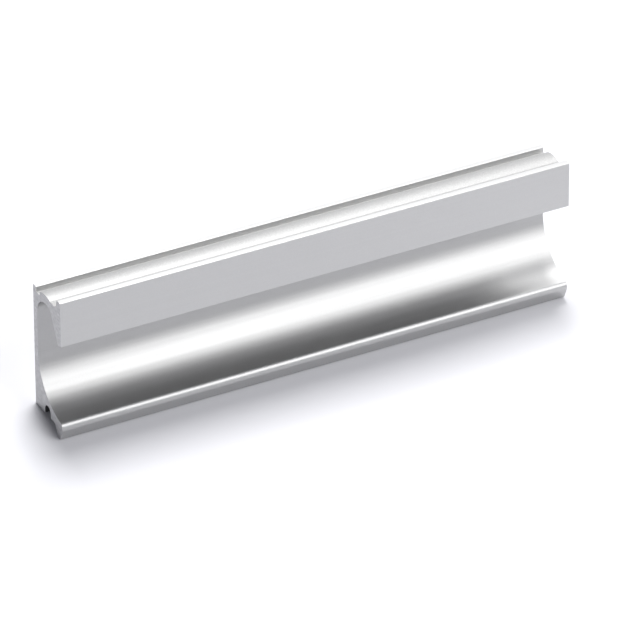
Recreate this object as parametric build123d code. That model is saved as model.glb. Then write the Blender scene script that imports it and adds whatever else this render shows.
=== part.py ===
from build123d import *
import os
from math import asin, atan2, cos, degrees, hypot, radians, sin, sqrt, tan

# Extruded aluminium handle profile for a cabinet or drawer front.
# All sizes are millimetres. In the section, depth is measured forward from the
# back face and height is measured up from the seat that lies on the board.

# Length of the piece of stock
stock_length = 200.0

# Back wall
wall_thickness = 2.8
wall_height = 48.7

# Narrow groove behind the head, open at the top
rear_flange_thickness = 2.3
groove_width = 2.8
groove_depth = 2.0

# Head, whose top is crowned next to the groove and flat in front of that. Both parts
# lie a little lower than the top of the wall.
overall_depth = 21.3
head_back_drop = 0.5
head_front_drop = 0.1
crown_width = 8.0
crown_rise = 0.85
head_thickness = 2.8

# Front flange, which the fingers pull, and the low lip that it rises to above the head
lip_thickness = 2.9
lip_rise = 3.6
flange_height = 17.8
flange_foot_width = 2.4
flange_foot_drop = 0.35
flange_slant = 26.9

# Finger pocket behind the front flange, and how much of its roof each radius may use up
pocket_back_radius = 7.0
pocket_front_radius = 5.0
back_radius_share = 0.75
front_radius_share = 0.95

# Hollow cove between the wall and the nose
cove_radius = 20.0

# Nose, which laps over the front edge of the board
nose_setback = 0.3
nose_crest_height = 2.4
nose_crest_radius = 1.8
nose_face_drop = 0.2
nose_face_radius = 2.0
nose_drop = 4.6
nose_tip_setback = 1.8
nose_tip_width = 1.5
nose_tip_radius = 0.6

# Seat on the board's top edge, with a screw port that opens downward
board_thickness = 15.0
board_clearance = 0.2
port_centre_depth = 9.6
port_width = 4.4
port_height = 3.9

# Radii that the die leaves on the head, the lip and the small outer corners
corner_radius = 0.3
head_edge_radius = 1.0
lip_back_radius = 0.9
lip_root_radius = 2.1


def point(depth, height):
    return Vector(depth, height)


def rounded(section, radius, *corners):
    near = [section.vertices().sort_by_distance(corner)[0] for corner in corners]
    return fillet(near, radius)


# Heights and depths that follow from the sizes above
groove_floor = wall_height - groove_depth
head_back = rear_flange_thickness + groove_width
head_back_height = wall_height - head_back_drop
head_front_height = wall_height - head_front_drop
pocket_roof_height = head_front_height - head_thickness
lip_back = overall_depth - lip_thickness
lip_top_height = head_front_height + lip_rise
flange_bottom_height = lip_top_height - flange_height
flange_foot_back = overall_depth - flange_foot_width
flange_foot_height = flange_bottom_height - flange_foot_drop
pocket_front = flange_foot_back - (pocket_roof_height - flange_foot_height) * tan(radians(flange_slant))
crown_front = head_back + crown_width
nose_reach = overall_depth - nose_setback
cove_centre_depth = wall_thickness + cove_radius
cove_offset = nose_reach - cove_centre_depth
cove_spring = nose_crest_height + sqrt(cove_radius**2 - cove_offset**2)
nose_tip_front = nose_reach - nose_tip_setback
nose_tip_back = nose_tip_front - nose_tip_width
seat_depth = board_thickness + board_clearance

# Corners of the section, round from the foot of the back face
back_foot = point(0, 0)
back_top = point(0, wall_height)
flange_top = point(rear_flange_thickness, wall_height)
groove_back = point(rear_flange_thickness, groove_floor)
groove_front = point(head_back, groove_floor)
head_rear = point(head_back, head_back_height)
crown_end = point(crown_front, head_front_height)
lip_root = point(lip_back, head_front_height)
lip_inner = point(lip_back, lip_top_height)
lip_outer = point(overall_depth, lip_top_height)
face_bottom = point(overall_depth, flange_bottom_height)
flange_inner = point(flange_foot_back, flange_foot_height)
roof_front = point(pocket_front, pocket_roof_height)
roof_back = point(wall_thickness, pocket_roof_height)
cove_top = point(wall_thickness, cove_spring)
nose_crest = point(nose_reach, nose_crest_height)
nose_face = point(nose_reach, -nose_face_drop)
tip_front = point(nose_tip_front, -nose_drop)
tip_back = point(nose_tip_back, -nose_drop)
seat_front = point(seat_depth, 0)

# A point halfway round the cove, from the wall to the nose
cove_end_angle = atan2(nose_crest_height - cove_spring, cove_offset)
cove_mid_angle = (cove_end_angle - radians(180)) / 2
cove_middle = point(
    cove_centre_depth + cove_radius * cos(cove_mid_angle),
    cove_spring + cove_radius * sin(cove_mid_angle),
)

# Outline of the section as lines, one crowned arc and the cove
outline = [
    Polyline(back_foot, back_top, flange_top, groove_back, groove_front, head_rear),
    SagittaArc(head_rear, crown_end, crown_rise),
    Polyline(crown_end, lip_root, lip_inner, lip_outer, face_bottom, flange_inner, roof_front, roof_back),
    Line(roof_back, cove_top),
    ThreePointArc(cove_top, cove_middle, nose_crest),
    Polyline(nose_crest, nose_face, tip_front, tip_back, seat_front, back_foot),
]
section = make_face(Curve() + outline)

# Screw port, a slot with a round top, cut up into the seat
port_radius = port_width / 2
port_neck = port_height - port_radius
port_round = Pos(port_centre_depth, port_neck) * Circle(port_radius)
port_slot = Pos(port_centre_depth, 0) * Rectangle(port_width, 2 * port_neck)
section = section - port_round - port_slot

# The pocket's two radii share the width of its roof, so a narrow roof limits them
roof_width = pocket_front - wall_thickness
back_radius = min(pocket_back_radius, back_radius_share * roof_width)
front_corner_half = radians(90 + flange_slant) / 2
front_radius_room = (roof_width - back_radius) * tan(front_corner_half)
front_radius = min(pocket_front_radius, front_radius_share * front_radius_room)

# Radii, from the pocket's large ones to the small corners
section = rounded(section, back_radius, roof_back)
section = rounded(section, front_radius, roof_front)
section = rounded(section, nose_crest_radius, nose_crest)
section = rounded(section, nose_face_radius, nose_face)
section = rounded(section, nose_tip_radius, tip_front, tip_back)
section = rounded(section, lip_root_radius, lip_root)
section = rounded(section, head_edge_radius, head_rear)
section = rounded(section, lip_back_radius, lip_inner)
section = rounded(section, corner_radius, back_top, flange_top, lip_outer, face_bottom, flange_inner)

# The section stands across the length, with its depth towards the front
section_plane = Plane(origin=(stock_length / 2, 0, 0), x_dir=(0, -1, 0), z_dir=(-1, 0, 0))
profile = extrude(section_plane * section, stock_length)

# Unheld, the piece leans back until the round tip of its nose and the foot of its wall
# both touch the floor. The lean is the angle of the line that joins those two contacts.
tip_half_turn = atan2(nose_drop, seat_depth - nose_tip_back) / 2
tip_centre_depth = nose_tip_back + nose_tip_radius / tan(tip_half_turn)
tip_centre_drop = nose_drop - nose_tip_radius
tip_distance = hypot(tip_centre_depth, tip_centre_drop)
lean = degrees(atan2(tip_centre_drop, tip_centre_depth) + asin(nose_tip_radius / tip_distance))
profile = Rot(-lean, 0, 0) * profile
box = profile.bounding_box()
profile = Pos(0, -(box.min.Y + box.max.Y) / 2, -box.min.Z) * profile

os.makedirs("parts", exist_ok=True)
export_step(profile, "parts/handle_profile.step")
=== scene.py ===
from math import cos, pi, radians, sin

import bpy
from mathutils import Matrix, Vector

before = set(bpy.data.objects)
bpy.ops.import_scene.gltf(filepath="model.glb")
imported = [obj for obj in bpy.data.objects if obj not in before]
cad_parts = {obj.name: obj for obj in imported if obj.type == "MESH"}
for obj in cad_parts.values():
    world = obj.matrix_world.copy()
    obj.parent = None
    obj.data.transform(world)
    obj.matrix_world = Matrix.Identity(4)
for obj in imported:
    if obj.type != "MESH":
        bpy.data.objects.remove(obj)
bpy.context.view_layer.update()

# Camera, in the row frame: metres and degrees. An azimuth of 0 is straight in front of the
# piece, and it grows towards the right end.
CAMERA_TARGET = Vector((-0.0009, -0.0067, 0.0214))
CAMERA_AZIMUTH = -33.26
CAMERA_ELEVATION = 44.59
CAMERA_ROLL = 9.05
CAMERA_DISTANCE = 2.804
CAMERA_LENS = 466.0
SENSOR_WIDTH = 36.0
CLIP_START = 0.05
CLIP_END = 20.0


def direction(azimuth, elevation):
    a, e = radians(azimuth), radians(elevation)
    return Vector((sin(a) * cos(e), -cos(a) * cos(e), sin(e)))


def add_object(name, data):
    added = bpy.data.objects.new(name, data)
    bpy.context.scene.collection.objects.link(added)
    return added


def add_camera():
    data = bpy.data.cameras.new("camera")
    data.lens = CAMERA_LENS
    data.sensor_width = SENSOR_WIDTH
    data.clip_start = CLIP_START
    data.clip_end = CLIP_END
    camera = add_object("camera", data)
    back = direction(CAMERA_AZIMUTH, CAMERA_ELEVATION)
    azimuth = radians(CAMERA_AZIMUTH)
    level_right = Vector((cos(azimuth), sin(azimuth), 0.0))
    level_up = back.cross(level_right)
    roll = radians(CAMERA_ROLL)
    right = level_right * cos(roll) + level_up * sin(roll)
    up = back.cross(right)
    turn = Matrix((right, up, back)).transposed().to_4x4()
    camera.matrix_world = Matrix.Translation(CAMERA_TARGET + back * CAMERA_DISTANCE) @ turn
    bpy.context.scene.camera = camera


# Lamps: broad soft boxes in front and behind, a smaller key high up behind, and a box beyond
# the right end. Each has an azimuth and an elevation in degrees, a width and a height in
# metres, and a radiance. All of them face the origin.
BOX_DISTANCE = 1.5
SOFTBOXES = {
    "front_box": (37.0, 42.5, 0.97, 1.4, 2.97),
    "key_box": (170.0, 66.0, 0.42, 0.42, 35.5),
    "back_box": (150.0, 31.0, 1.7, 2.0, 1.27),
    "end_box": (110.0, 44.0, 0.6, 0.7, 1.7),
}


def add_softbox(name, azimuth, elevation, width, height, radiance):
    data = bpy.data.lights.new(name, "AREA")
    data.shape = "RECTANGLE"
    data.size = width
    data.size_y = height
    data.energy = radiance * pi * width * height
    lamp = add_object(name, data)
    lamp.location = direction(azimuth, elevation) * BOX_DISTANCE
    lamp.rotation_euler = lamp.location.to_track_quat("Z", "Y").to_euler()
    lamp.visible_camera = False


def connect(tree, value, socket):
    if isinstance(value, bpy.types.NodeSocket):
        tree.links.new(value, socket)
    else:
        socket.default_value = value


def math_node(tree, operation, *values):
    node = tree.nodes.new("ShaderNodeMath")
    node.operation = operation
    for value, socket in zip(values, node.inputs):
        connect(tree, value, socket)
    return node.outputs[0]


# World: it lights the piece at this strength, and the camera sees it at full strength
WORLD_COLOR = (0.97, 0.98, 1.06, 1.0)
WORLD_STRENGTH = 0.26


def add_world():
    world = bpy.data.worlds.new("studio")
    bpy.context.scene.world = world
    world.use_nodes = True
    tree = world.node_tree
    background = tree.nodes["Background"]
    background.inputs["Color"].default_value = WORLD_COLOR
    camera_ray = tree.nodes.new("ShaderNodeLightPath").outputs["Is Camera Ray"]
    strength = math_node(tree, "MAXIMUM", WORLD_STRENGTH, camera_ray)
    tree.links.new(strength, background.inputs["Strength"])


# Floor: a pale square, a little below the piece so that the two don't flicker where they touch
FLOOR_COLOR = (0.715, 0.715, 0.74, 1.0)
FLOOR_ROUGHNESS = 0.9
FLOOR_HALF = 3.0
FLOOR_GAP = 0.0001
SQUARE = ((-1, -1), (1, -1), (1, 1), (-1, 1))


def add_floor():
    mesh = bpy.data.meshes.new("floor")
    corners = [(x * FLOOR_HALF, y * FLOOR_HALF, -FLOOR_GAP) for x, y in SQUARE]
    mesh.from_pydata(corners, [], [range(len(corners))])
    material = bpy.data.materials.new("floor")
    material.use_nodes = True
    shader = material.node_tree.nodes["Principled BSDF"]
    shader.inputs["Base Color"].default_value = FLOOR_COLOR
    shader.inputs["Roughness"].default_value = FLOOR_ROUGHNESS
    shader.inputs["Specular IOR Level"].default_value = 0.0
    mesh.materials.append(material)
    add_object("floor", mesh)


# Section of the piece, in metres. The foot of its back face stands at FOOT_Y, and it leans
# back. Its depth is measured forward from the back face and its height up from the seat.
FOOT_Y = 0.004178
LEAN = radians(14.345)
FORWARD = (0.0, -cos(LEAN), sin(LEAN))
UPWARD = (0.0, sin(LEAN), cos(LEAN))

# Parts of the section that look different: the middle and half size of each in depth, and then
# in height. The painted shade in the pocket fades in between two heights.
PORT = (0.0096, 0.00225, 0.00195, 0.00196)
HEAD = (0.0118, 0.0064, 0.0490, 0.0008)
POCKET = (0.0105, 0.0085, 0.0314, 0.0146)
POCKET_SHADE_FADE = (0.0166, 0.0222)

# A face is a sawn end where its normal's share along the length is more than this
END_NORMAL = 0.7

# Satin anodised aluminium: the body, the matt top of the head, painted darker against the
# light that falls on it from above, the finger pocket with painted shade inside, the matt
# screw port painted near black as the shade deep inside it, and the sawn ends
BODY_DARK = (0.53, 0.53, 0.527, 1.0)
BODY_LIGHT = (0.57, 0.57, 0.566, 1.0)
HEAD_SHADE_DARK = (0.36, 0.36, 0.357, 1.0)
HEAD_SHADE_LIGHT = (0.435, 0.435, 0.432, 1.0)
POCKET_SHADE_DARK = (0.445, 0.445, 0.445, 1.0)
POCKET_SHADE_LIGHT = (0.475, 0.475, 0.475, 1.0)
END_DARK = (0.41, 0.41, 0.415, 1.0)
END_LIGHT = (0.59, 0.59, 0.595, 1.0)
PORT_SHADE_COLOR = (0.17, 0.17, 0.175, 1.0)
BODY_ROUGHNESS = (0.40, 0.46)
MATT_ROUGHNESS = 0.58

# Fine grain, faint die lines along the length and saw marks: features per metre in x, y and
# z, and the detail of each. Of each noise, the stretch between two levels is used.
GRAIN_SCALE = (2200.0, 2200.0, 2200.0)
STREAK_SCALE = (6.0, 1100.0, 1100.0)
SAW_SCALE = (300.0, 450.0, 1900.0)
GRAIN_DETAIL = 2.0
STREAK_DETAIL = 3.0
SAW_DETAIL = 4.0
NOISE_LEVELS = (0.3, 0.7)
BUMP_STRENGTH = 0.12
BUMP_DISTANCE = 0.00005


def noise(tree, place, scale, detail):
    mapping = tree.nodes.new("ShaderNodeMapping")
    mapping.inputs["Scale"].default_value = scale
    tree.links.new(place, mapping.inputs["Vector"])
    texture = tree.nodes.new("ShaderNodeTexNoise")
    texture.inputs["Scale"].default_value = 1.0
    texture.inputs["Detail"].default_value = detail
    tree.links.new(mapping.outputs[0], texture.inputs["Vector"])
    return texture.outputs["Fac"]


def remap(tree, value, levels, results=(0.0, 1.0)):
    node = tree.nodes.new("ShaderNodeMapRange")
    ends = ("From Min", "From Max", "To Min", "To Max")
    for name, level in zip(ends, levels + results):
        node.inputs[name].default_value = level
    tree.links.new(value, node.inputs["Value"])
    return node.outputs[0]


# A mix node has sockets for several kinds of value. These are the ones for colours.
MIX_FIRST = 6
MIX_SECOND = 7
MIX_RESULT = 2


def mix_color(tree, share, first, second):
    mix = tree.nodes.new("ShaderNodeMix")
    mix.data_type = "RGBA"
    tree.links.new(share, mix.inputs["Factor"])
    connect(tree, first, mix.inputs[MIX_FIRST])
    connect(tree, second, mix.inputs[MIX_SECOND])
    return mix.outputs[MIX_RESULT]


def paint(tree, under, region, share, dark, light):
    return mix_color(tree, region, under, mix_color(tree, share, dark, light))


def along(tree, place, axis):
    dot = tree.nodes.new("ShaderNodeVectorMath")
    dot.operation = "DOT_PRODUCT"
    tree.links.new(place, dot.inputs[0])
    dot.inputs[1].default_value = axis
    return math_node(tree, "SUBTRACT", dot.outputs["Value"], FOOT_Y * axis[1])


def inside(tree, depth, height, region):
    middle_depth, half_depth, middle_height, half_height = region
    in_depth = math_node(tree, "COMPARE", depth, middle_depth, half_depth)
    in_height = math_node(tree, "COMPARE", height, middle_height, half_height)
    return math_node(tree, "MULTIPLY", in_depth, in_height)


def find_regions(tree, place, normal):
    depth = along(tree, place, FORWARD)
    height = along(tree, place, UPWARD)
    port = inside(tree, depth, height, PORT)
    head = inside(tree, depth, height, HEAD)
    whole_pocket = inside(tree, depth, height, POCKET)
    # Mask for the painted shade inside the finger pocket, fading in between two heights
    pocket_shade = math_node(tree, "MULTIPLY", whole_pocket, remap(tree, height, POCKET_SHADE_FADE))
    facing = tree.nodes.new("ShaderNodeSeparateXYZ")
    tree.links.new(normal, facing.inputs[0])
    sideways = math_node(tree, "ABSOLUTE", facing.outputs["X"])
    end = math_node(tree, "GREATER_THAN", sideways, END_NORMAL)
    return port, head, pocket_shade, end


def metal_color(tree, regions, grain, relief, saw):
    port, head, pocket_shade, end = regions
    average = math_node(tree, "MULTIPLY", relief, 0.5)
    shade = remap(tree, average, NOISE_LEVELS)
    speckle = remap(tree, grain, NOISE_LEVELS)
    mottle = remap(tree, saw, NOISE_LEVELS)
    color = mix_color(tree, shade, BODY_DARK, BODY_LIGHT)
    # Painted shade inside the finger pocket
    color = paint(tree, color, pocket_shade, shade, POCKET_SHADE_DARK, POCKET_SHADE_LIGHT)
    # Painted shade: the top of the head is darker in colour to take back the light that falls
    # on it from above
    color = paint(tree, color, head, speckle, HEAD_SHADE_DARK, HEAD_SHADE_LIGHT)
    # Painted shade: the screw port is near black, as the shade deep inside it
    color = mix_color(tree, port, color, PORT_SHADE_COLOR)
    return paint(tree, color, end, mottle, END_DARK, END_LIGHT)


def metal_roughness(tree, regions, streaks):
    port, head, _, end = regions
    satin = remap(tree, streaks, NOISE_LEVELS, BODY_ROUGHNESS)
    port_or_head = math_node(tree, "MAXIMUM", port, head)
    matt_region = math_node(tree, "MAXIMUM", end, port_or_head)
    matt = math_node(tree, "MULTIPLY", matt_region, MATT_ROUGHNESS)
    return math_node(tree, "MAXIMUM", satin, matt)


def metal_bump(tree, relief):
    bump = tree.nodes.new("ShaderNodeBump")
    bump.inputs["Strength"].default_value = BUMP_STRENGTH
    bump.inputs["Distance"].default_value = BUMP_DISTANCE
    tree.links.new(relief, bump.inputs["Height"])
    return bump.outputs["Normal"]


def add_metal():
    material = bpy.data.materials.new("satin_anodised")
    material.use_nodes = True
    tree = material.node_tree
    where = tree.nodes.new("ShaderNodeTexCoord")
    place = where.outputs["Object"]
    grain = noise(tree, place, GRAIN_SCALE, GRAIN_DETAIL)
    streaks = noise(tree, place, STREAK_SCALE, STREAK_DETAIL)
    saw = noise(tree, place, SAW_SCALE, SAW_DETAIL)
    regions = find_regions(tree, place, where.outputs["Normal"])
    relief = math_node(tree, "ADD", grain, streaks)
    shader = tree.nodes["Principled BSDF"]
    shader.inputs["Metallic"].default_value = 1.0
    connect(tree, metal_color(tree, regions, grain, relief, saw), shader.inputs["Base Color"])
    connect(tree, metal_roughness(tree, regions, streaks), shader.inputs["Roughness"])
    connect(tree, metal_bump(tree, relief), shader.inputs["Normal"])
    return material


add_camera()
add_world()
add_floor()
for name, box in SOFTBOXES.items():
    add_softbox(name, *box)

metal = add_metal()
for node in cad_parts.values():
    node.material_slots[0].material = metal

bpy.context.scene.view_settings.view_transform = "Standard"
